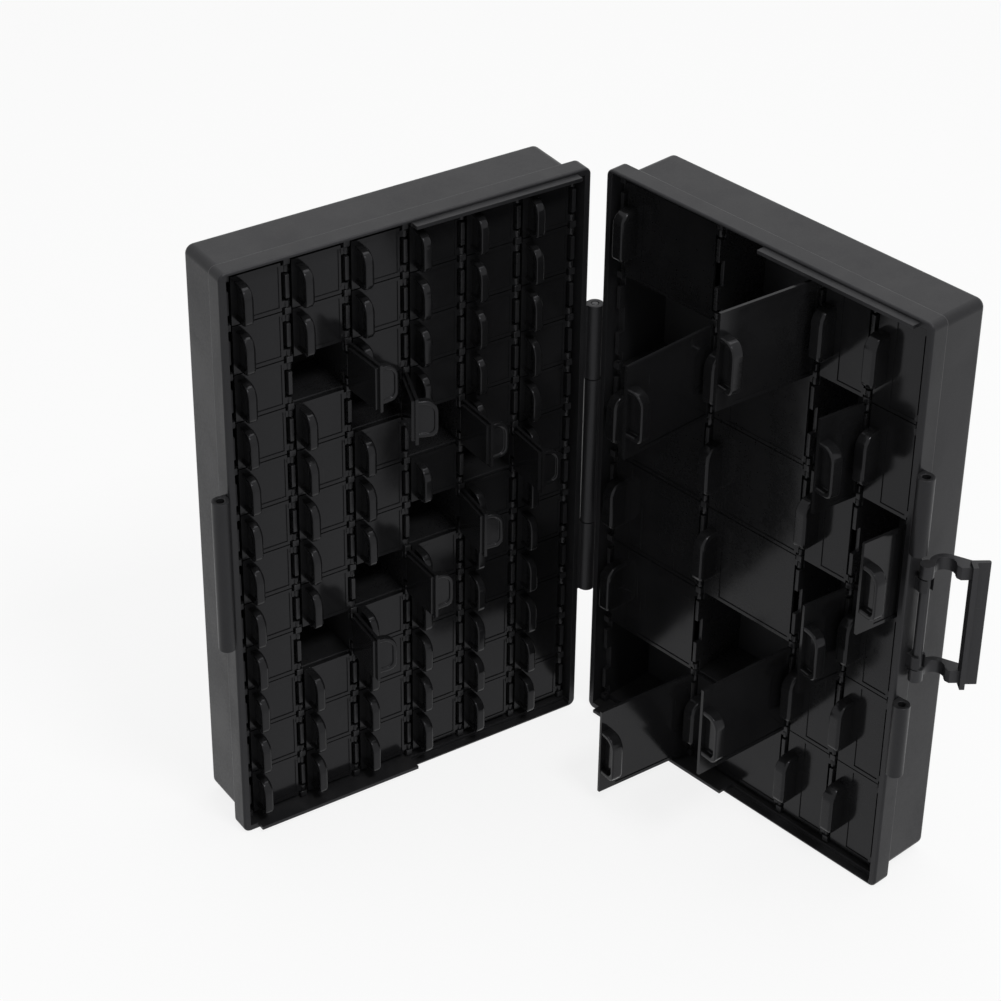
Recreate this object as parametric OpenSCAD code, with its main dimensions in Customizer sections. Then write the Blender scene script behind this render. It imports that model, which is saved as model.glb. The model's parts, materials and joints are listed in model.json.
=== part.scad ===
// Compartment storage box: a book-like plastic case that stands open on its lower edges.
// The left half holds small compartments and the right half large ones, each under its own hinged lid.
// The origin is on the axis of the case hinge at floor level, with +Z up and the left half along -X.
// Each half is drawn as seen from its open side: X from left to right, Y into the case, Z up.

/* [Case halves] */
// Height of each half
leaf_h = 210; // [175:1:260]
// Width of each half
leaf_w = 131.6; // [109.6:0.2:160]
// Depth of each half, from its mouth to its back
leaf_d = 27; // [22.5:0.5:40]
// Angle between the halves as the case stands open
open_angle = 100.15; // [95:0.05:120]

/* [Shell] */
// Depth of the rim flange around the mouth
rim_d = 7; // [5.8:0.1:8.4]
// Thickness of the rim
rim_wall = 2.4; // [2:0.1:2.9]
// Corner radius of the rim
rim_r = 2.5; // [1.5:0.1:4]
// How far the body stands in from the rim
body_inset = 2.4; // [1.5:0.1:2.9]
// Corner radius of the body
body_r = 3; // [2.5:0.1:4]
// Fillet around the back of the body
back_fillet = 2; // [0.5:0.1:2.4]
// Rounding of the edges of the rim
edge_r = 0.8; // [0.2:0.1:1]
// Thickness of the back
floor_t = 2; // [1.2:0.1:4]

/* [Rim tongue] */
// Thickness of the tongue that seats in the other half's rim
tongue_t = 1.2; // [0.8:0.1:1.5]
// How far the tongue stands out of the mouth
tongue_h = 2.8; // [1:0.1:3.4]
// Clearance around the tongue
tongue_gap = 0.2; // [0.1:0.05:0.4]

/* [Case hinge] */
// Diameter of the hinge knuckles
knuckle_d = 5.6; // [4.6:0.1:6.8]
// Clearance between a knuckle and the other half's rim
knuckle_side_gap = 0.2; // [0.1:0.05:0.5]
// Length of the middle knuckle
mid_knuckle = 55.6; // [50:0.2:66]
// Length of each outer knuckle
outer_knuckle = 27.2; // [15:0.2:32]
// End clearance between knuckles
knuckle_gap = 0.4; // [0.2:0.1:0.8]
// Diameter of the hinge pin
pin_d = 2.6; // [2:0.1:3.2]
// Radial clearance of the hinge pin
pin_gap = 0.05; // [0.02:0.01:0.09]
// Chamfer at the ends of the hinge pin
pin_chamfer = 0.3; // [0.1:0.1:0.5]

/* [Compartments] */
// Columns of small compartments
columns = 6; // [6]
// Rows of small compartments
rows = 12; // [12]
// From the side of the rim to the middle of the outermost column wall
side_margin = 4; // [3.8:0.1:5]
// From the top of the rim to the middle of the outermost row wall
end_margin = 3.9; // [3.7:0.1:5]
// Thickness of a column wall
column_wall = 1.4; // [1:0.1:1.6]
// Thickness of a row wall
row_wall = 1.1; // [0.8:0.1:1.3]
// Clearance where the walls lap through each other
lap_gap = 0.1; // [0.05:0.05:0.2]

/* [Lids] */
// How deep the lids lie behind the mouth
lid_level = 4; // [3.6:0.1:5]
// Thickness of a lid
lid_t = 1; // [0.8:0.1:1.2]
// Depth of the step under a lid that drops between the walls
plug_t = 1.1; // [0.6:0.1:1.4]
// How far that step stands in from the edge of the lid
plug_inset = 1; // [0.8:0.1:1.6]
// From the edge of a lid to the middle of the column wall beside it
lid_side_gap = 1.8; // [1.7:0.1:2.2]
// Gap between two lids of one column
lid_row_gap = 0.4; // [0.3:0.1:0.8]
// Clearance between the underside of the lids and the row walls
lid_rest_gap = 0.3; // [0.1:0.1:0.4]
// Depth of the label recess in the face of a lid
label_d = 0.3; // [0.1:0.05:0.5]
// From the wall line beside the free edge to the label recess
label_start = 8.5; // [7.8:0.1:10]
// From the wall line beside the trunnions to the label recess
label_end = 2.6; // [2.2:0.1:4]
// Border between the label recess and the edges along the rows
label_border = 1.2; // [0.8:0.1:2]
// How far the column walls stand above the lids
wall_proud = 0.6; // [0.2:0.1:0.8]

/* [Lid hinges] */
// Diameter of the trunnions
trunnion_d = 1; // [0.8:0.1:1.2]
// Radial clearance of the trunnions
trunnion_gap = 0.075; // [0.03:0.005:0.09]
// Diameter of the ears that carry the trunnions
ear_d = 2; // [1.8:0.1:2.2]
// Height of an ear
ear_h = 2.2; // [1.6:0.1:2.6]
// End clearance between an ear and its post
ear_gap = 0.2; // [0.1:0.05:0.3]
// Side of the square posts that hold the trunnions
post_w = 2.2; // [2:0.1:2.4]
// Length of the bars between the ears
bar_len = 8; // [4:0.2:8.4]

/* [Finger tabs] */
// How far a tab stands out of its lid
tab_h = 6.6; // [5:0.1:7]
// Thickness of a tab
tab_t = 2.4; // [1.4:0.1:2.6]
// From the free edge of a lid to its tab
tab_inset = 2; // [1.2:0.1:2.6]
// Radius of the rounded corners of a tab
tab_r = 4.5; // [3:0.1:5]
// Rounding of the edges of a tab
tab_edge = 1.1; // [0.2:0.1:1.2]
// Width of a tab on a small lid
small_tab_w = 13; // [10:0.1:13.6]
// Width of a tab on a large lid
large_tab_w = 17.5; // [11:0.1:20]

/* [Latch] */
// Distance of the latch rod from the side of the rim
latch_out = 2.7; // [2.4:0.1:3.2]
// Depth of the latch rod behind the mouth
latch_level = 5.7; // [5.4:0.1:6]
// Diameter of the latch rod
rod_d = 3.2; // [2:0.1:3.4]
// Radial clearance of the latch rod in its lugs
rod_gap = 0.05; // [0.02:0.01:0.09]
// How far each lip of a lug's mouth reaches around the rod
snap_lip = 0.24; // [0.1:0.02:0.4]
// Wall of a lug around the rod
lug_wall = 0.8; // [0.6:0.1:1]
// Height of a lug
lug_h = 4.5; // [3:0.1:6]
// Height of an arm
arm_h = 4.5; // [3:0.1:6]
// Thickness of an arm
arm_t = 2; // [1.6:0.1:2.2]
// Clearance between the latch and what it reaches around
latch_gap = 0.4; // [0.3:0.05:0.6]
// Overall height of the cross bar
latch_h = 45.5; // [36:0.5:54]
// How far the cross bar stands out past each arm
latch_lip = 1.2; // [0.4:0.1:3]
// Width of the hook of the cross bar
hook_w = 2; // [1.4:0.1:2.6]
// Width of the finger plate below the hook
finger_w = 4.3; // [3:0.1:6]
// Thickness of the finger plate
finger_t = 1.4; // [1.2:0.1:2]
// Angle from the hooked position to where the latch rests
latch_angle = 138.5; // [90:0.5:165]

/* [Hidden] */
$fn = 48;
arc_steps = 6;
// Steps of the small roundings of a tab
tab_steps = 3;
// Least flat left between two rounded edges
least_flat = 0.2;
// Overlap that joins the shapes of one moulding
bite = 0.3;
// Reach of a cut past the face it opens
past = 1;

// Case hinge
rim_gap = knuckle_d / 2 + knuckle_side_gap;
web_d = knuckle_d / 2 - knuckle_side_gap;
mid_z = leaf_h / 2;
outer_start = mid_knuckle / 2 + knuckle_gap;

// Compartments and their walls, measured as depths behind the mouth
column_pitch = (leaf_w - 2 * side_margin) / columns;
row_pitch = (leaf_h - 2 * end_margin) / rows;
floor_level = leaf_d - floor_t;
axis_level = lid_level + lid_t / 2;
crest_level = lid_level - wall_proud;
row_level = lid_level + lid_t + lid_rest_gap;
ledge_level = axis_level + ear_d / 2 + lid_rest_gap;
post_base = row_level - lap_gap;
lap_level = (ledge_level + floor_level) / 2;
inner_side = side_margin + column_wall / 2;
inner_end = end_margin + row_wall / 2;

// The wall lines of the right half, counted in columns of the left half
right_lines = [0, 2, 4, 5, 6];
right_letters = ["a", "b", "c", "d"];
right_rows = rows / 2;
// Lids that stand open: column, row from the top, angle
left_open = [[2, 3, 93], [3, 4, 70], [4, 5, 90], [5, 6, 88], [4, 7, 84], [3, 8, 90], [2, 9, 86]];
right_open = [[1, 2, 90], [2, 1, 82], [3, 2, 82], [4, 3, 82], [3, 4, 82], [2, 5, 86], [1, 6, 82]];
// Shut lids of the left half that are drawn together: column, first row, last row
left_shut = [
    [1, 1, 4], [1, 5, 8], [1, 9, 12],
    [2, 1, 2], [2, 4, 8], [2, 10, 12],
    [3, 1, 3], [3, 5, 7], [3, 9, 12],
    [4, 1, 4], [4, 6, 6], [4, 8, 12],
    [5, 1, 3], [5, 4, 5], [5, 7, 9], [5, 10, 12],
    [6, 1, 4], [6, 5, 8], [6, 9, 12]
];

// Latch, with its rod at the origin and the case shut towards -Y
barrel_x = rim_gap - latch_out;
arch_in = knuckle_d / 2 + latch_gap;
arch_out = arch_in + arm_t;
hook_y = -(latch_level + rim_d);
arm_z = latch_h / 2 - latch_lip - arm_h;
lug_z = arm_z - latch_gap - lug_h;

shell_black = "#1a1a1c";
lid_black = "#141416";
pin_grey = "#2b2b2e";

function arc(cx, cy, r, from, to, steps = arc_steps) = [
    for (i = [0 : steps])
        let (t = from + (to - from) * i / steps)
        [cx + r * cos(t), cy + r * sin(t)]
];
function row_foot(row, pitch) = leaf_h - end_margin - row * pitch;
function line_x(line) = side_margin + line * column_pitch;
function open_at(list, column, row) = [for (lid = list) if (lid[0] == column && lid[1] == row) lid[2]];
function rest_angle(list, column, row) = concat(open_at(list, column, row), [0])[0];
function left_open_name(lid) = str("left_lid_c", lid[0], "_r", lid[1]);
function left_shut_name(lid) = str("left_lids_c", lid[0], "_r", lid[1], "_", lid[2]);
function right_name(column, row) = str("right_lid_", right_letters[column - 1], row);

// Places a half as it stands in the open case
module left_half() {
    translate([-(rim_gap + leaf_w), 0, 0])
        children();
}

module right_half() {
    rotate([0, 0, open_angle - 180])
        translate([rim_gap, 0, 0])
            children();
}

// A block between two depths with rounded upright corners and rounded front and back edges
module slab(inset, r, front, back, front_r, back_r) {
    across = leaf_w - 2 * (inset + r);
    up = leaf_h - 2 * (inset + r);
    profile = concat(
        [[0, front]],
        arc(r - front_r, front + front_r, front_r, -90, 0),
        arc(r - back_r, back - back_r, back_r, 0, 90),
        [[0, back]]
    );
    translate([inset + r, 0, inset + r]) {
        translate([0, front, 0])
            cube([across, back - front, up]);
        translate([across, 0, 0])
            linear_extrude(up)
                polygon(profile);
        mirror([1, 0, 0])
            linear_extrude(up)
                polygon(profile);
        translate([across, 0, up])
            rotate([0, -90, 0])
                linear_extrude(across)
                    polygon(profile);
        rotate([0, 90, 0])
            linear_extrude(across)
                polygon(profile);
        for (corner = [[across, 0, 0], [0, 0, 90], [0, up, 180], [across, up, 270]])
            translate([corner[0], 0, corner[1]])
                rotate([0, corner[2], 0])
                    rotate([-90, 0, 0])
                        rotate_extrude(angle = 90)
                            polygon(profile);
    }
}

// A knuckle from one height to another, on a web that reaches into the rim or only up to it
module knuckle(side, foot, length, sunk) {
    axis_x = side < 0 ? -rim_gap : leaf_w + rim_gap;
    web_x = side < 0 ? -rim_gap : leaf_w - sunk;
    difference() {
        union() {
            translate([axis_x, 0, foot])
                cylinder(d = knuckle_d, h = length);
            translate([web_x, 0, foot])
                cube([rim_gap + sunk, web_d, length]);
        }
        translate([axis_x, 0, foot - past])
            cylinder(d = pin_d + 2 * pin_gap, h = length + 2 * past);
    }
}

module middle_knuckle(sunk) {
    knuckle(-1, mid_z - mid_knuckle / 2, mid_knuckle, sunk);
}

module outer_knuckles(sunk) {
    for (foot = [mid_z + outer_start, mid_z - outer_start - outer_knuckle])
        knuckle(1, foot, outer_knuckle, sunk);
}

// The strip of tongue along half of one end of the rim, and the recess that takes it
module tongue(inner_z) {
    translate([leaf_w / 2 + tongue_gap, -tongue_h, inner_z])
        cube([leaf_w / 2 - rim_r - body_r, tongue_h + past, tongue_t]);
}

module tongue_recess(inner_z) {
    translate([rim_r + tongue_gap, -past, inner_z - tongue_gap])
        cube([leaf_w / 2 - rim_r - tongue_gap, past + tongue_h + tongue_gap, tongue_t + 2 * tongue_gap]);
}

// A row of posts and bars along one column wall, with bores for the trunnions of the lids
module crest(lines, pitch, foot) {
    for (line = [0 : lines])
        translate([0, 0, row_foot(line, pitch) - post_w / 2]) {
            difference() {
                translate([-post_w / 2, crest_level, 0])
                    cube([post_w, post_base - crest_level, post_w]);
                translate([0, axis_level, -past])
                    cylinder(d = trunnion_d + 2 * trunnion_gap, h = post_w + 2 * past);
            }
            translate([-column_wall / 2, post_base, 0])
                cube([column_wall, foot - post_base, post_w]);
        }
    for (row = [1 : rows])
        translate([-column_wall / 2, crest_level, row_foot(row, row_pitch) + (row_pitch - bar_len) / 2])
            cube([column_wall, ledge_level - crest_level + bite, bar_len]);
}

// One half of the case: rim, body and border posts
module tray(lines, pitch) {
    difference() {
        union() {
            slab(0, rim_r, 0, rim_d, edge_r, edge_r);
            slab(body_inset, body_r, rim_d / 2, leaf_d, edge_r, back_fillet);
            tongue(leaf_h - rim_wall);
            translate([leaf_w, 0, 0])
                mirror([1, 0, 0])
                    tongue(rim_wall - tongue_t);
        }
        translate([rim_wall, -past, rim_wall])
            cube([leaf_w - 2 * rim_wall, past + ledge_level, leaf_h - 2 * rim_wall]);
        translate([inner_side, 0, inner_end])
            cube([leaf_w - 2 * inner_side, floor_level, leaf_h - 2 * inner_end]);
        tongue_recess(leaf_h - rim_wall);
        translate([leaf_w, 0, 0])
            mirror([1, 0, 0])
                tongue_recess(rim_wall - tongue_t);
    }
    for (line = [0, columns])
        translate([line_x(line), 0, 0])
            crest(lines, pitch, ledge_level + bite);
}

// A lug on the rim with a bore for the latch rod and a mouth that the rod snaps through
module lug(foot) {
    lug_r = rod_d / 2 + rod_gap + lug_wall;
    mouth = rod_d - 2 * snap_lip;
    translate([leaf_w + latch_out, latch_level, foot])
        difference() {
            union() {
                cylinder(r = lug_r, h = lug_h);
                translate([-latch_out - bite, -lug_r + lug_wall / 2, 0])
                    cube([latch_out + bite, lug_r + rim_d - latch_level - lug_wall, lug_h]);
            }
            translate([0, 0, -past])
                cylinder(d = rod_d + 2 * rod_gap, h = lug_h + 2 * past);
            translate([0, -mouth / 2, -past])
                cube([lug_r + past, mouth, lug_h + 2 * past]);
        }
}

// A column wall: a plate slotted for the row walls, with the crest of posts and bars on its edge
module column_plate(lines, pitch) {
    slot = row_wall + 2 * lap_gap;
    difference() {
        translate([-column_wall / 2, ledge_level, inner_end])
            cube([column_wall, floor_level - ledge_level, leaf_h - 2 * inner_end]);
        for (line = [1 : lines - 1])
            translate([-column_wall, lap_level - lap_gap, row_foot(line, pitch) - slot / 2])
                cube([2 * column_wall, floor_level, slot]);
    }
    crest(lines, pitch, ledge_level);
}

// A row wall: a plate slotted for the column walls
module row_plate(walls) {
    slot = column_wall + 2 * lap_gap;
    difference() {
        translate([inner_side, row_level, -row_wall / 2])
            cube([leaf_w - 2 * inner_side, floor_level - row_level, row_wall]);
        for (line = walls)
            translate([line_x(line) - slot / 2, 0, -row_wall])
                cube([slot, lap_level + lap_gap, 2 * row_wall]);
    }
}

// A lid on its trunnions: the origin is on its axis at its lower wall line, and it reaches along -X
module lid(width, height, tab_w) {
    reach = width - lid_side_gap;
    edge_z = lid_row_gap / 2;
    ear_z = post_w / 2 + ear_gap;
    far_tab = reach - tab_inset;
    label_z = edge_z + label_border;
    difference() {
        translate([-reach, -lid_t / 2, edge_z])
            cube([reach - lid_side_gap, lid_t, height - lid_row_gap]);
        translate([label_start - width, -lid_t / 2 - past, label_z])
            cube([width - label_start - label_end, past + label_d, height - 2 * label_z]);
    }
    translate([-reach + plug_inset, 0, edge_z + plug_inset])
        cube([
            reach - lid_side_gap - 2 * plug_inset,
            lid_t / 2 + plug_t,
            height - lid_row_gap - 2 * plug_inset
        ]);
    for (z = [ear_z, height - ear_z - ear_h]) {
        translate([0, 0, z])
            cylinder(d = ear_d, h = ear_h);
        translate([-lid_side_gap - bite, -lid_t / 2, z])
            cube([lid_side_gap + bite, lid_t, ear_h]);
    }
    for (z = [ear_gap, height - ear_z - bite])
        translate([0, 0, z])
            cylinder(d = trunnion_d, h = ear_z - ear_gap + bite);
    translate([-far_tab, 0, height / 2])
        tab(tab_w);
}

// A finger tab: an upright fin with rounded corners and edges, standing out of the lid towards -Y
module tab(tab_w) {
    edge = min(tab_edge, (tab_t - least_flat) / 2);
    half = tab_w / 2 - tab_r;
    up = lid_t / 2 + tab_h - tab_r;
    profile = concat(
        [[0, 0]],
        arc(tab_r - edge, edge, edge, -90, 0, tab_steps),
        arc(tab_r - edge, tab_t - edge, edge, 0, 90, tab_steps),
        [[0, tab_t]]
    );
    rotate([180, -90, 0]) {
        translate([-half, 0, 0])
            cube([2 * half, up, tab_t]);
        translate([-half, up, 0])
            rotate([90, 0, 90])
                linear_extrude(2 * half)
                    polygon(profile);
        for (side = [0, 1])
            mirror([side, 0, 0])
                translate([half, up, 0]) {
                    rotate([90, 0, 0])
                        linear_extrude(up)
                            polygon(profile);
                    rotate_extrude(angle = 90)
                        polygon(profile);
                }
    }
}

module left_lid(column, row) {
    color(lid_black)
        left_half()
            translate([line_x(column), axis_level, row_foot(row, row_pitch)])
                rotate([0, 0, rest_angle(left_open, column, row)])
                    lid(column_pitch, row_pitch, small_tab_w);
}

module right_lid(column, row) {
    from = right_lines[column - 1];
    to = right_lines[column];
    color(lid_black)
        right_half()
            translate([line_x(to), axis_level, row_foot(row, 2 * row_pitch)])
                rotate([0, 0, rest_angle(right_open, column, row)])
                    lid((to - from) * column_pitch, 2 * row_pitch, large_tab_w);
}

module left_tray() {
    color(shell_black)
        left_half() {
            tray(rows, row_pitch);
            outer_knuckles(bite);
        }
}

module left_idle_knuckle() {
    color(shell_black)
        left_half()
            middle_knuckle(0);
}

module right_tray() {
    color(shell_black)
        right_half() {
            tray(right_rows, 2 * row_pitch);
            middle_knuckle(bite);
            lug(mid_z + lug_z);
            lug(mid_z - lug_z - lug_h);
        }
}

module right_idle_knuckles() {
    color(shell_black)
        right_half()
            outer_knuckles(0);
}

module left_column_walls() {
    color(shell_black)
        left_half()
            for (line = [1 : columns - 1])
                translate([line_x(line), 0, 0])
                    column_plate(rows, row_pitch);
}

module right_column_walls() {
    color(shell_black)
        right_half()
            for (line = [for (i = [1 : len(right_lines) - 2]) right_lines[i]])
                translate([line_x(line), 0, 0])
                    column_plate(right_rows, 2 * row_pitch);
}

module left_row_walls() {
    color(shell_black)
        left_half()
            for (line = [1 : rows - 1])
                translate([0, 0, row_foot(line, row_pitch)])
                    row_plate([1 : columns - 1]);
}

module right_row_walls() {
    color(shell_black)
        right_half()
            for (line = [1 : right_rows - 1])
                translate([0, 0, row_foot(line, 2 * row_pitch)])
                    row_plate([for (i = [1 : len(right_lines) - 2]) right_lines[i]]);
}

// The rod through the main knuckles, with chamfered ends
module hinge_pin() {
    length = 2 * (outer_start + outer_knuckle);
    color(pin_grey)
        translate([0, 0, mid_z - length / 2])
            rotate_extrude()
                polygon([
                    [0, 0],
                    [pin_d / 2 - pin_chamfer, 0],
                    [pin_d / 2, pin_chamfer],
                    [pin_d / 2, length - pin_chamfer],
                    [pin_d / 2 - pin_chamfer, length],
                    [0, length]
                ]);
}

// Section of a latch arm in the hooked position: a hub, an arch around the keeper barrel, a leg and a web beside it
module arm_section() {
    leg_x = -latch_out + latch_gap;
    outer_x = leg_x + arm_t + bite;
    web_y = hook_y - hook_w - finger_w / 2;
    web_reach = norm([outer_x - barrel_x, web_y + latch_level]);
    web_turn = atan2(web_y + latch_level, outer_x - barrel_x) + acos(arch_out / web_reach);
    circle(r = latch_out - latch_gap);
    intersection() {
        translate([barrel_x, -latch_level])
            difference() {
                circle(r = arch_out);
                circle(r = arch_in);
            }
        translate([0, -latch_level - arch_out - past])
            square([arch_out + past, 2 * (arch_out + past)]);
    }
    polygon([
        [bite, -latch_level - arch_in + bite / 2],
        [leg_x / 2, -latch_level - arch_in],
        [leg_x, -latch_level - arch_in + leg_x / 2],
        [leg_x, hook_y - latch_gap],
        [outer_x, hook_y - latch_gap],
        [barrel_x + bite, -latch_level - arch_out + bite / 2]
    ]);
    polygon([
        [barrel_x + bite, -latch_level - arch_out + bite],
        [outer_x - bite, hook_y - latch_gap - bite],
        [outer_x, web_y],
        [barrel_x + arch_out * cos(web_turn), -latch_level + arch_out * sin(web_turn)],
        [barrel_x + (arch_out - bite) * cos(web_turn), -latch_level + (arch_out - bite) * sin(web_turn)]
    ]);
}

// Section of the cross bar: a hook that drops behind the rim and a finger plate that stands off the case
module bar_section() {
    nose_x = -latch_out - body_inset + 2 * latch_gap;
    outer_x = -latch_out + latch_gap + arm_t + bite;
    inner_x = outer_x - finger_t;
    tip_y = hook_y - hook_w - finger_w;
    polygon([
        [nose_x, hook_y - latch_gap],
        [outer_x, hook_y - latch_gap / 2],
        [outer_x, tip_y + latch_gap],
        [outer_x - latch_gap, tip_y],
        [inner_x + latch_gap / 2, tip_y],
        [inner_x, tip_y + latch_gap / 2],
        [inner_x, hook_y - hook_w - latch_gap],
        [inner_x - latch_gap, hook_y - hook_w],
        [nose_x, hook_y - hook_w]
    ]);
}

module latch() {
    color(shell_black)
        right_half()
            translate([leaf_w + latch_out, latch_level, mid_z])
                rotate([0, 0, latch_angle]) {
                    translate([0, 0, -arm_z - bite])
                        cylinder(d = rod_d, h = 2 * (arm_z + bite));
                    for (z = [arm_z, -arm_z - arm_h])
                        translate([0, 0, z])
                            linear_extrude(arm_h)
                                arm_section();
                    translate([0, 0, -latch_h / 2])
                        linear_extrude(latch_h)
                            bar_section();
                }
}

left_tray();
left_column_walls();
left_row_walls();
right_tray();
right_column_walls();
right_row_walls();
left_idle_knuckle();
right_idle_knuckles();
hinge_pin();
latch();
for (lid = left_open)
    left_lid(lid[0], lid[1]);
for (lid = left_shut)
    for (row = [lid[1] : lid[2]]) left_lid(lid[0], row);
for (column = [1 : len(right_letters)])
    for (row = [1 : right_rows])
        right_lid(column, row);
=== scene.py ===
import json
import math

import bpy
import numpy as np
from mathutils import Matrix, Vector


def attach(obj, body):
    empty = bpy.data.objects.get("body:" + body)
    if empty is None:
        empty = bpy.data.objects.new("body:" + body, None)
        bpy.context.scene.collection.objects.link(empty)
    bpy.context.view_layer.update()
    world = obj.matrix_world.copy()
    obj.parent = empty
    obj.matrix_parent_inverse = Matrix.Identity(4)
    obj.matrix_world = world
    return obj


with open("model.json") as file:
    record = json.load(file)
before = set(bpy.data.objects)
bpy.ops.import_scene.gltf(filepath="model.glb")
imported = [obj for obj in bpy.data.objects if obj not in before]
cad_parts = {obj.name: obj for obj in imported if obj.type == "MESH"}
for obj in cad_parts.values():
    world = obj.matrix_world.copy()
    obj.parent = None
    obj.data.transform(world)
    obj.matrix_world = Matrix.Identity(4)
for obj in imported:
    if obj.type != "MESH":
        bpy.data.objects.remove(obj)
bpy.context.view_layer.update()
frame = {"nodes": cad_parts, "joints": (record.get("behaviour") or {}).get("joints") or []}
nodes = frame["nodes"]

# The two trays are the halves of the case: deep shells of black polypropylene with a stepped rim.
# Each is one injection moulding from a spark-eroded tool, so its faces have a fine even satin grain.
# The hinge knuckles are moulded on, and the idle ones on the free sides are of the same piece.
TRAY_EDGE = 0.00025
ROUND_STEPS = 2
MERGE_REACH = 1e-6
SHARP_ANGLE = math.radians(38)
FACE_WEIGHT = 100


def ease_edges(node, width):
    """Rounds a moulding's edges: the triangles are merged, every edge sharper than the limit gets
    a narrow round, and normals follow the larger faces."""
    piece = nodes[node]
    piece.data.shade_smooth()
    weld = piece.modifiers.new("merge", "WELD")
    weld.merge_threshold = MERGE_REACH
    rounds = piece.modifiers.new("rounds", "BEVEL")
    rounds.width = width
    rounds.segments = ROUND_STEPS
    rounds.limit_method = "ANGLE"
    rounds.angle_limit = SHARP_ANGLE
    rounds.miter_outer = "MITER_ARC"
    rounds.use_clamp_overlap = True
    rounds.loop_slide = False
    normals = piece.modifiers.new("normals", "WEIGHTED_NORMAL")
    normals.mode = "FACE_AREA"
    normals.weight = FACE_WEIGHT


def finish_with(node, material):
    """Gives a node its material in the place of the plain one that it came with."""
    piece = nodes[node]
    piece.data.materials.clear()
    piece.data.materials.append(material)


def effect_group(name, vectors, values, outputs):
    """An empty shader node group with vector inputs, float inputs with their defaults and float outputs."""
    tree = bpy.data.node_groups.new(name, "ShaderNodeTree")
    for label in vectors:
        tree.interface.new_socket(label, in_out="INPUT", socket_type="NodeSocketVector")
    for label, value in values.items():
        socket = tree.interface.new_socket(label, in_out="INPUT", socket_type="NodeSocketFloat")
        socket.default_value = value
    for label in outputs:
        tree.interface.new_socket(label, in_out="OUTPUT", socket_type="NodeSocketFloat")
    return tree, tree.nodes.new("NodeGroupInput").outputs, tree.nodes.new("NodeGroupOutput").inputs


def wire(tree, value, socket):
    """Links an output to a socket, or writes a plain number there."""
    if isinstance(value, bpy.types.NodeSocket):
        tree.links.new(value, socket)
    else:
        socket.default_value = value


def calc(tree, operation, first, second):
    """One arithmetic step on two values."""
    node = tree.nodes.new("ShaderNodeMath")
    node.operation = operation
    wire(tree, first, node.inputs[0])
    wire(tree, second, node.inputs[1])
    return node.outputs[0]


def shared(tree, first, share, second, rest):
    """A share of one value and a share of another, added."""
    return calc(tree, "ADD", calc(tree, "MULTIPLY", first, share), calc(tree, "MULTIPLY", second, rest))


def cloudy(tree, place, per_metre, detail=2.0, distortion=0.0):
    """Soft noise from 0 to 1 with so many swells to the metre."""
    node = tree.nodes.new("ShaderNodeTexNoise")
    tree.links.new(place, node.inputs["Vector"])
    wire(tree, per_metre, node.inputs["Scale"])
    node.inputs["Detail"].default_value = detail
    node.inputs["Distortion"].default_value = distortion
    return node.outputs["Fac"]


def spread(tree, value, low, high, to_low=0.0, to_high=1.0):
    """Stretches the part of a value between two levels over a new span, smoothly and clamped."""
    node = tree.nodes.new("ShaderNodeMapRange")
    node.interpolation_type = "SMOOTHSTEP"
    wire(tree, value, node.inputs["Value"])
    node.inputs["From Min"].default_value = low
    node.inputs["From Max"].default_value = high
    node.inputs["To Min"].default_value = to_low
    node.inputs["To Max"].default_value = to_high
    return node.outputs["Result"]


def stretched(tree, place, scale, turn=(0, 0, 0)):
    """The place, turned and scaled differently along each axis."""
    node = tree.nodes.new("ShaderNodeMapping")
    tree.links.new(place, node.inputs["Vector"])
    node.inputs["Rotation"].default_value = turn
    node.inputs["Scale"].default_value = scale
    return node.outputs["Vector"]


# Tool grain: fine pits of the eroded tool steel over slow swells where thin plastic sinks as it cools.
# The tone follows the pits and the slow flow marks of the melt, which are drawn out along the height.
COARSE_PIT_RATE = 0.41
FINE_SHARE, COARSE_SHARE = 0.6, 0.4
SINKS_PER_METRE = 75
FLOW_PER_METRE = 38
FLOW_STRETCH = (1, 1, 0.35)
PIT_TONE, FLOW_TONE = 0.55, 0.45
TONE_SPAN = (0.36, 0.64)
grain_tree, grain_in, grain_out = effect_group(
    "tool_grain", ["Place"], {"Pits per metre": 2400, "Pit depth": 0.01, "Sink depth": 0.02}, ["Height", "Tone"]
)
grain_place, pit_rate = grain_in["Place"], grain_in["Pits per metre"]
fine_pits = cloudy(grain_tree, grain_place, pit_rate, detail=3.0)
coarse_pits = cloudy(grain_tree, grain_place, calc(grain_tree, "MULTIPLY", pit_rate, COARSE_PIT_RATE))
pits = shared(grain_tree, fine_pits, FINE_SHARE, coarse_pits, COARSE_SHARE)
sinks = cloudy(grain_tree, grain_place, SINKS_PER_METRE, detail=1.0)
melt = stretched(grain_tree, grain_place, FLOW_STRETCH)
flow = cloudy(grain_tree, melt, FLOW_PER_METRE, detail=3.0, distortion=1.2)
height = shared(grain_tree, pits, grain_in["Pit depth"], sinks, grain_in["Sink depth"])
tone = shared(grain_tree, pits, PIT_TONE, flow, FLOW_TONE)
grain_tree.links.new(height, grain_out["Height"])
grain_tree.links.new(spread(grain_tree, tone, *TONE_SPAN), grain_out["Tone"])

# Handling marks: greasy smudges from fingers in soft patches, and a few hair scratches in two directions.
# A smudge is a patch broken up by finger whorls, and the scratches keep to patches of their own.
PATCHES_PER_METRE = 42
PATCH_SPAN = (0.47, 0.70)
WHORLS_PER_METRE = 620
WHORL_SPAN = (0.25, 0.75)
WHORL_LEVELS = (0.45, 1.0)
HAIR_SPAN = (0.70, 0.76)
WORN_PER_METRE = 60
WORN_SPAN = (0.45, 0.65)
marks_tree, marks_in, marks_out = effect_group(
    "handling_marks", ["Place"], {"Smudge": 1.0, "Scratch": 1.0}, ["Smudge", "Scratch"]
)
marks_place = marks_in["Place"]


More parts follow.
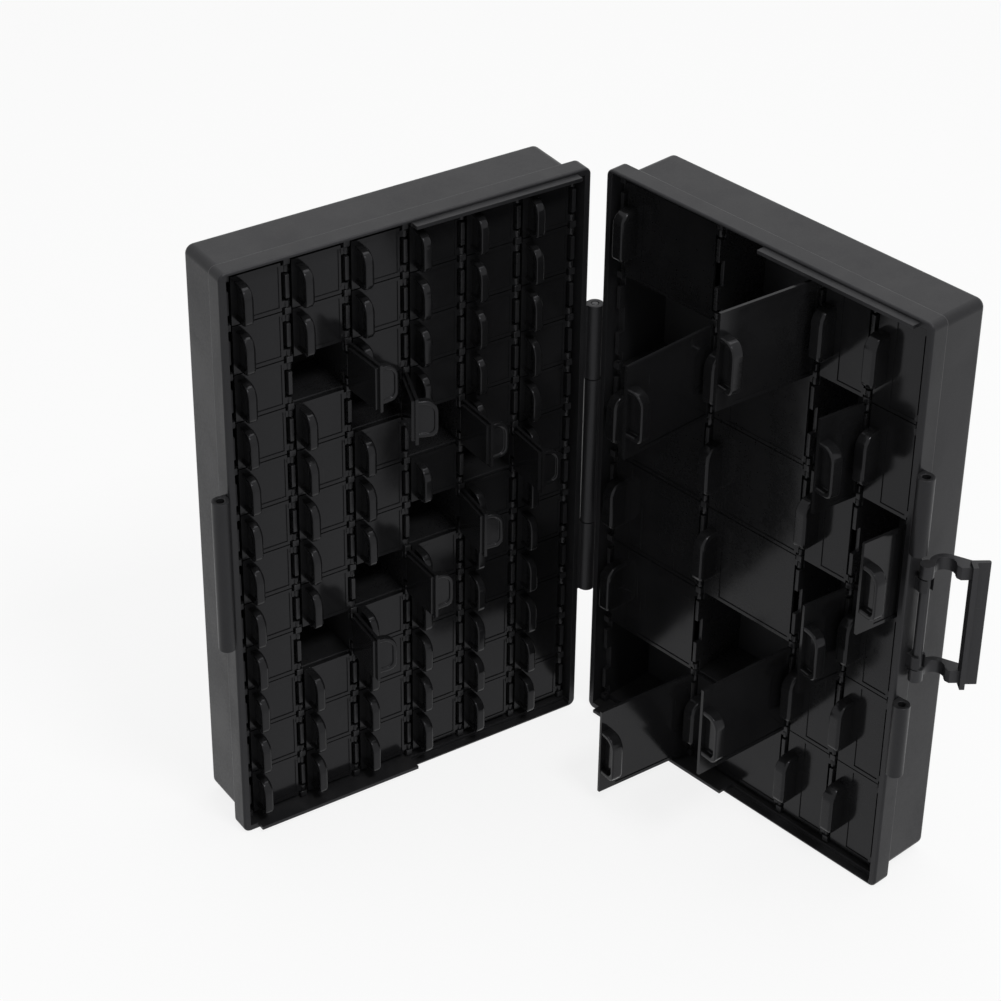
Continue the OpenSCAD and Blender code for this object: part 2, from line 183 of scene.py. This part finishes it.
def hair_lines(scale, turn, per_metre):
    """Thin streaks: noise that is drawn out along one axis and turned, with only its peaks kept."""
    drawn_out = stretched(marks_tree, marks_place, scale, turn)
    return spread(marks_tree, cloudy(marks_tree, drawn_out, per_metre, detail=1.0), *HAIR_SPAN)


patch_noise = cloudy(marks_tree, marks_place, PATCHES_PER_METRE, detail=3.0, distortion=0.6)
whorl_noise = cloudy(marks_tree, marks_place, WHORLS_PER_METRE, distortion=1.5)
patches = spread(marks_tree, patch_noise, *PATCH_SPAN)
whorls = spread(marks_tree, whorl_noise, *WHORL_SPAN, *WHORL_LEVELS)
smudge = calc(marks_tree, "MULTIPLY", patches, whorls)
steep = hair_lines(scale=(1, 1, 0.035), turn=(0.5, 0.2, 0), per_metre=1500)
level = hair_lines(scale=(0.05, 0.05, 1), turn=(0.1, 0.35, 0), per_metre=1300)
worn = spread(marks_tree, cloudy(marks_tree, marks_place, WORN_PER_METRE), *WORN_SPAN)
hairs = calc(marks_tree, "MULTIPLY", calc(marks_tree, "MAXIMUM", steep, level), worn)
marks_tree.links.new(calc(marks_tree, "MULTIPLY", smudge, marks_in["Smudge"]), marks_out["Smudge"])
marks_tree.links.new(calc(marks_tree, "MULTIPLY", hairs, marks_in["Scratch"]), marks_out["Scratch"])

# Settled dust: a thin film and a few specks on faces that look upwards.
# The film is uneven, and the specks are the peaks of a much finer noise.
UPWARD_SPAN = (0.35, 0.95)
FILM_PER_METRE = 130
FILM_SPAN = (0.40, 0.75)
FILM_LEVELS = (0.10, 0.55)
SPECKS_PER_METRE = 1100
SPECK_SPAN = (0.70, 0.78)
dust_tree, dust_in, dust_out = effect_group("settled_dust", ["Place", "Facing"], {"Amount": 1.0}, ["Dust"])
facing = dust_tree.nodes.new("ShaderNodeSeparateXYZ")
dust_tree.links.new(dust_in["Facing"], facing.inputs[0])
upward = spread(dust_tree, facing.outputs["Z"], *UPWARD_SPAN)
film_noise = cloudy(dust_tree, dust_in["Place"], FILM_PER_METRE, detail=4.0)
film = spread(dust_tree, film_noise, *FILM_SPAN, *FILM_LEVELS)
specks = spread(dust_tree, cloudy(dust_tree, dust_in["Place"], SPECKS_PER_METRE, detail=1.0), *SPECK_SPAN)
dust = calc(dust_tree, "MULTIPLY", upward, calc(dust_tree, "MAXIMUM", film, specks))
dust_tree.links.new(calc(dust_tree, "MULTIPLY", dust, dust_in["Amount"]), dust_out["Dust"])

DUST_COLOUR = (0.16, 0.155, 0.15, 1)
DUST_DULLS = 0.25
SCRATCH_COLOUR = (0.05, 0.05, 0.052, 1)
SHEEN_TINT = (0.95, 0.95, 1.0, 1)
BUMP_REACH = 0.001


def placed(tree, group, settings):
    """A group placed in a material, with its number inputs set."""
    node = tree.nodes.new("ShaderNodeGroup")
    node.node_tree = group
    for label, value in settings.items():
        node.inputs[label].default_value = value
    return node


def tinted(tree, mask, under, over):
    """One colour over another where the mask says so."""
    node = tree.nodes.new("ShaderNodeMix")
    node.data_type = "RGBA"
    tree.links.new(mask, node.inputs["Factor"])
    wire(tree, under, node.inputs["A"])
    wire(tree, over, node.inputs["B"])
    return node.outputs["Result"]


def moulded_plastic(name, dark, light, gloss, specular, grain, marks, dust_amount):
    """Black plastic: its colour drifts between two tones with the grain, roughness rises from the
    first to the second gloss value with the grain and again on smudges and dust, and the grain is bumped."""
    material = bpy.data.materials.new(name)
    material.use_nodes = True
    tree = material.node_tree
    shader = tree.nodes["Principled BSDF"]
    shader.inputs["Specular IOR Level"].default_value = specular
    shader.inputs["Specular Tint"].default_value = SHEEN_TINT
    where = tree.nodes.new("ShaderNodeTexCoord").outputs
    texture = placed(tree, grain_tree, grain)
    handled = placed(tree, marks_tree, marks)
    dusty = placed(tree, dust_tree, {"Amount": dust_amount})
    for effect in (texture, handled, dusty):
        tree.links.new(where["Object"], effect.inputs["Place"])
    tree.links.new(where["Normal"], dusty.inputs["Facing"])
    body = tinted(tree, texture.outputs["Tone"], (*dark, 1), (*light, 1))
    scratched = tinted(tree, handled.outputs["Scratch"], body, SCRATCH_COLOUR)
    tree.links.new(tinted(tree, dusty.outputs["Dust"], scratched, DUST_COLOUR), shader.inputs["Base Color"])
    smooth, rough, smeared = gloss
    satin = spread(tree, texture.outputs["Tone"], 0, 1, smooth, rough)
    greasy = calc(tree, "ADD", satin, calc(tree, "MULTIPLY", handled.outputs["Smudge"], smeared))
    dulled = calc(tree, "ADD", greasy, calc(tree, "MULTIPLY", dusty.outputs["Dust"], DUST_DULLS))
    tree.links.new(dulled, shader.inputs["Roughness"])
    bump = tree.nodes.new("ShaderNodeBump")
    bump.inputs["Distance"].default_value = BUMP_REACH
    tree.links.new(texture.outputs["Height"], bump.inputs["Height"])
    tree.links.new(bump.outputs["Normal"], shader.inputs["Normal"])
    return material


tray_black = moulded_plastic(
    "tray_black", dark=(0.0100, 0.0100, 0.0108), light=(0.0150, 0.0150, 0.0160),
    gloss=(0.34, 0.46, 0.08), specular=0.23,
    grain={"Pits per metre": 2400, "Pit depth": 0.020, "Sink depth": 0.030},
    marks={"Smudge": 0.8, "Scratch": 0.12}, dust_amount=0.08,
)
for node in nodes:
    if "tray" in node or "knuckle" in node:
        ease_edges(node, TRAY_EDGE)
        finish_with(node, tray_black)

# The dividers are thin slotted strips of the same plastic that cross inside each tray.
# Column strips carry the posts and bars that hold the lids, and row strips lap into their slots.
# They come off a polished tool, so they are a little smoother than the shells.
DIVIDER_EDGE = 0.00015
divider_black = moulded_plastic(
    "divider_black", dark=(0.0110, 0.0110, 0.0117), light=(0.0150, 0.0150, 0.0158),
    gloss=(0.26, 0.34, 0.06), specular=0.22,
    grain={"Pits per metre": 1700, "Pit depth": 0.008, "Sink depth": 0.030},
    marks={"Smudge": 0.4, "Scratch": 0.08}, dust_amount=0.01,
)
for node in nodes:
    if "walls" in node:
        ease_edges(node, DIVIDER_EDGE)
        finish_with(node, divider_black)

# The hinge pin is a plain black rod with chamfered ends, pushed through the three knuckles of the hinge.
# It is extruded nylon, rubbed bright where the knuckles turn on it.
PIN_EDGE = 0.0001
pin_black = moulded_plastic(
    "pin_black", dark=(0.0110, 0.0110, 0.0118), light=(0.0200, 0.0200, 0.0212),
    gloss=(0.22, 0.32, 0.06), specular=0.5,
    grain={"Pits per metre": 1500, "Pit depth": 0.006, "Sink depth": 0.010},
    marks={"Smudge": 0.4, "Scratch": 1.0}, dust_amount=0.05,
)
ease_edges("hinge_pin", PIN_EDGE)
finish_with("hinge_pin", pin_black)

# The lids are thin flaps of glossy black plastic, 72 small ones on the left and 24 large ones on the right.
# Each is moulded with two trunnions, which snap into the posts, a D-shaped finger tab and a shallow label panel.
# They come off a polished tool: bright enough to mirror their tabs, a little wavy, and smeared by fingers.
LID_EDGE = 0.00016
lid_black = moulded_plastic(
    "lid_black", dark=(0.0080, 0.0080, 0.0085), light=(0.0098, 0.0098, 0.0104),
    gloss=(0.12, 0.16, 0.06), specular=0.18,
    grain={"Pits per metre": 900, "Pit depth": 0.001, "Sink depth": 0.060},
    marks={"Smudge": 0.2, "Scratch": 0.10}, dust_amount=0.02,
)
for node in nodes:
    if "_lid" in node:
        ease_edges(node, LID_EDGE)
        finish_with(node, lid_black)

# The finger tabs are hollow hoods, one near the free edge of each lid and moulded with it.
# Each stands over the plain fin of the CAD lid and hides it. It is a D from the side, closed and softly rounded
# towards the trunnions, and open as a D-shaped recess with a thin rim towards the free edge.
MILLIMETRE = 0.001
HOOD_WIDTH = {"left": 3.2, "right": 4.4}
HOOD_HEIGHT = 6.64
HOOD_GROWN = 0.05
HOOD_SINK = 0.15
HOOD_TOP_R = 4.5
HOOD_FOOT_R = 2.4
HOOD_ROUND = 1.1
HOOD_RIM = 0.4
HOOD_WALL = 1.3
HOOD_RECESS = {"left": 0.7, "right": 1.7}
HOOD_FILLET = 0.25
HOOD_INSET = {"left": 1.25, "right": 0.2}
HOOD_CENTRE = 0.02
FOOT_STEPS, TOP_STEPS, CROWN_STEPS, RIM_STEPS = 4, 6, 5, 3
LID_FACE = 0.5
LID_SIDE_GAP = 1.8
ROWS_TOP = 206.1
ROW_PITCH = {"left": 16.85, "right": 33.7}
TAB_LENGTH = {"left": 13, "right": 17.5}
COLUMN_PITCH = 20.6
WIDE_COLUMNS = ("a", "b")
HALF_TURN = {"left": 0.0, "right": -79.85}


def quarter(steps, start=0):
    """Angles in even steps over a quarter turn from the start, in radians."""
    return np.radians(np.linspace(start, start + 90, steps + 1))


def hood_grid(side):
    """A hood in millimetres, with x along the lid from its rim, p out of the lid and q up: a grid of one
    D outline at each step of a profile. The D runs out, round two corners of their own radii and back. The
    profile is a list of x and inset that goes from the middle of the closed side round the edge and the rim
    and into the recess, and each step scales the D about the middle of its foot by 1 - inset / height."""
    foot, top = quarter(FOOT_STEPS, -90), quarter(TOP_STEPS)
    half = TAB_LENGTH[side] / 2 + HOOD_GROWN
    width, recess = HOOD_WIDTH[side], HOOD_RECESS[side]
    p = np.concatenate([
        [-HOOD_SINK], HOOD_HEIGHT - HOOD_FOOT_R + HOOD_FOOT_R * np.cos(foot),
        HOOD_HEIGHT - HOOD_TOP_R + HOOD_TOP_R * np.cos(top), [-HOOD_SINK],
    ])
    q = np.concatenate([
        [-half], HOOD_FOOT_R - half + HOOD_FOOT_R * np.sin(foot),
        half - HOOD_TOP_R + HOOD_TOP_R * np.sin(top), [half],
    ])
    crown, bend = quarter(CROWN_STEPS), quarter(RIM_STEPS)
    middle = HOOD_HEIGHT * (1 - HOOD_CENTRE)
    x = np.concatenate([
        [width], width - HOOD_ROUND + HOOD_ROUND * np.cos(crown),
        HOOD_RIM - HOOD_RIM * np.sin(bend), HOOD_RIM - HOOD_RIM * np.cos(bend),
        recess - HOOD_FILLET + HOOD_FILLET * np.sin(bend), [recess],
    ])
    inset = np.concatenate([
        [middle], HOOD_ROUND - HOOD_ROUND * np.sin(crown),
        HOOD_RIM - HOOD_RIM * np.cos(bend), HOOD_WALL - HOOD_RIM + HOOD_RIM * np.sin(bend),
        HOOD_WALL + HOOD_FILLET - HOOD_FILLET * np.cos(bend), [middle],
    ])
    scale = 1 - inset / HOOD_HEIGHT
    return np.stack([np.repeat(x[:, None], len(p), 1), scale[:, None] * p, scale[:, None] * q], axis=-1)


def grid_faces(rows, columns, first=0):
    """The quads of a grid of points that are numbered row by row from the first."""
    index = first + np.arange(rows * columns).reshape(rows, columns)
    corners = [index[:-1, :-1], index[1:, :-1], index[1:, 1:], index[:-1, 1:]]
    return np.stack(corners, axis=-1).reshape(-1, 4)


def hoods_of(lid, joint):
    """The hoods of one lid body: each row's hood is turned with its lid about the trunnions at rest."""
    half, _, place = lid.partition("_")
    column, *rows = place.split("_")[1:] if half == "left" else (place[-2], place[-1])
    first, last = int(rows[0].strip("r")), int(rows[-1].strip("r"))
    width = COLUMN_PITCH * (2 if column in WIDE_COLUMNS else 1)
    turn = math.radians(HALF_TURN[half] + max(-joint["range_deg"][0], 0))
    along = np.array([math.cos(turn), math.sin(turn), 0])
    out = np.array([math.sin(turn), -math.cos(turn), 0])
    up = np.array([0, 0, 1])
    axis = np.array([joint["pos_m"][0] / MILLIMETRE, joint["pos_m"][1] / MILLIMETRE, 0])
    grid = hood_grid(half)
    steps, outline = grid.shape[:2]
    x = LID_SIDE_GAP - width + HOOD_INSET[half] + grid[..., :1]
    p = LID_FACE + grid[..., 1:2]
    points, faces = [], []
    for row in range(first, last + 1):
        q = ROWS_TOP - (row - 0.5) * ROW_PITCH[half] + grid[..., 2:]
        faces.append(grid_faces(steps, outline, len(points) * steps * outline))
        points.append((axis + x * along + p * out + q * up).reshape(-1, 3) * MILLIMETRE)
    mesh = bpy.data.meshes.new(lid + "_hoods")
    mesh.from_pydata(np.concatenate(points).tolist(), [], np.concatenate(faces).tolist())
    mesh.shade_smooth()
    piece = bpy.data.objects.new(lid + "_hoods", mesh)
    bpy.context.scene.collection.objects.link(piece)
    normals = piece.modifiers.new("normals", "WEIGHTED_NORMAL")
    normals.weight = FACE_WEIGHT
    return piece


for joint in frame["joints"]:
    if "_lid" in joint["child"]:
        hoods = hoods_of(joint["child"], joint)
        hoods.data.materials.append(lid_black)
        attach(hoods, joint["child"])

# The latch is a bail moulded in one: a rod that snaps into two lugs, two arched arms and a hooked cross bar.
# It has the satin finish of the shells, worn a little smoother where it is pulled.
LATCH_EDGE = 0.0002
latch_black = moulded_plastic(
    "latch_black", dark=(0.0100, 0.0100, 0.0108), light=(0.0170, 0.0170, 0.0182),
    gloss=(0.32, 0.42, 0.08), specular=0.32,
    grain={"Pits per metre": 2200, "Pit depth": 0.014, "Sink depth": 0.020},
    marks={"Smudge": 0.9, "Scratch": 0.25}, dust_amount=0.06,
)
ease_edges("latch", LATCH_EDGE)
finish_with("latch", latch_black)

# The floor is a sheet of white paper, wide enough to fill the view.
# It is lit by the lamps and shows the object's shadow, lifted towards plain white.
FLOOR_HALF = 4.0
FLOOR_CELLS = 24
FLOOR_PAPER = (0.86, 0.86, 0.86, 1)
FLOOR_ROUGHNESS = 0.9
FLOOR_SPECULAR = 0.1
FLOOR_LIFT = 0.84
WHITE = (1, 1, 1, 1)


def paper_sheet(half, cells):
    """A level sheet: x and y each run evenly from minus half to plus half, and z is 0."""
    across = np.linspace(-half, half, cells + 1)
    x, y = np.meshgrid(across, across, indexing="ij")
    points = np.stack([x, y, np.zeros_like(x)], axis=-1).reshape(-1, 3)
    mesh = bpy.data.meshes.new("paper_floor")
    mesh.from_pydata(points.tolist(), [], grid_faces(cells + 1, cells + 1).tolist())
    return mesh


def seen_rays(tree):
    """1 for rays from the camera, in reflections and through clear things, otherwise 0."""
    path = tree.nodes.new("ShaderNodeLightPath").outputs
    mirrored = calc(tree, "MAXIMUM", path["Is Glossy Ray"], path["Is Transmission Ray"])
    return calc(tree, "MAXIMUM", path["Is Camera Ray"], mirrored)


floor = bpy.data.objects.new("paper_floor", paper_sheet(FLOOR_HALF, FLOOR_CELLS))
bpy.context.scene.collection.objects.link(floor)
paper = bpy.data.materials.new("white_paper")
paper.use_nodes = True
paper_tree = paper.node_tree
paper_shader = paper_tree.nodes["Principled BSDF"]
paper_shader.inputs["Base Color"].default_value = FLOOR_PAPER
paper_shader.inputs["Roughness"].default_value = FLOOR_ROUGHNESS
paper_shader.inputs["Specular IOR Level"].default_value = FLOOR_SPECULAR
paper_glow = paper_tree.nodes.new("ShaderNodeEmission")
paper_glow.inputs["Color"].default_value = WHITE
paper_mix = paper_tree.nodes.new("ShaderNodeMixShader")
paper_tree.links.new(calc(paper_tree, "MULTIPLY", seen_rays(paper_tree), FLOOR_LIFT), paper_mix.inputs["Fac"])
paper_tree.links.new(paper_shader.outputs["BSDF"], paper_mix.inputs[1])
paper_tree.links.new(paper_glow.outputs["Emission"], paper_mix.inputs[2])
paper_tree.links.new(paper_mix.outputs["Shader"], paper_tree.nodes["Material Output"].inputs["Surface"])
floor.data.materials.append(paper)

# The studio is a pale room that is plain white to the camera and in reflections.
# A wide soft lamp hangs above and behind, and a smaller one fills from the front.
ROOM_LIGHT = 0.40
room = bpy.data.worlds.new("pale_room")
room.use_nodes = True
room_tree = room.node_tree
room_shade = room_tree.nodes["Background"]
room_shade.inputs["Color"].default_value = WHITE
room_level = spread(room_tree, seen_rays(room_tree), 0, 1, ROOM_LIGHT, 1.0)
room_tree.links.new(room_level, room_shade.inputs["Strength"])
bpy.context.scene.world = room
AIM = Vector((-0.02, -0.05, 0.10))


def soft_lamp(name, place, width, depth, watts):
    """A rectangular soft lamp that faces the middle of the object."""
    lamp = bpy.data.lights.new(name, "AREA")
    lamp.shape = "RECTANGLE"
    lamp.size = width
    lamp.size_y = depth
    lamp.energy = watts
    holder = bpy.data.objects.new(name, lamp)
    holder.location = place
    holder.rotation_euler = (AIM - Vector(place)).to_track_quat("-Z", "Y").to_euler()
    bpy.context.scene.collection.objects.link(holder)


soft_lamp("overhead_lamp", place=(0.25, 0.15, 1.60), width=1.3, depth=1.0, watts=9)
soft_lamp("front_lamp", place=(0.05, -0.95, 1.50), width=0.45, depth=0.35, watts=11)
bpy.context.scene.view_settings.view_transform = "Standard"

# The camera stands where the photograph was taken from, a metre away and well above the case.
# Its place, axes and lens were fitted to the photograph.
CAMERA_PLACE = (-0.47565, -0.66563, 0.62634)
CAMERA_RIGHT = (0.83811, -0.54539, 0.01132)
CAMERA_UP = (0.29363, 0.46852, 0.83324)
CAMERA_AHEAD = (0.45974, 0.69502, -0.55281)
LENS_LENGTH = 105.314
SENSOR_WIDTH = 36
NEAR, FAR = 0.02, 50
lens = bpy.data.cameras.new("photo_camera")
lens.sensor_fit = "HORIZONTAL"
lens.sensor_width = SENSOR_WIDTH
lens.lens = LENS_LENGTH
lens.clip_start = NEAR
lens.clip_end = FAR
camera = bpy.data.objects.new("photo_camera", lens)
turn = Matrix((CAMERA_RIGHT, CAMERA_UP, [-step for step in CAMERA_AHEAD])).transposed().to_4x4()
camera.matrix_world = Matrix.Translation(CAMERA_PLACE) @ turn
bpy.context.scene.collection.objects.link(camera)
bpy.context.scene.camera = camera
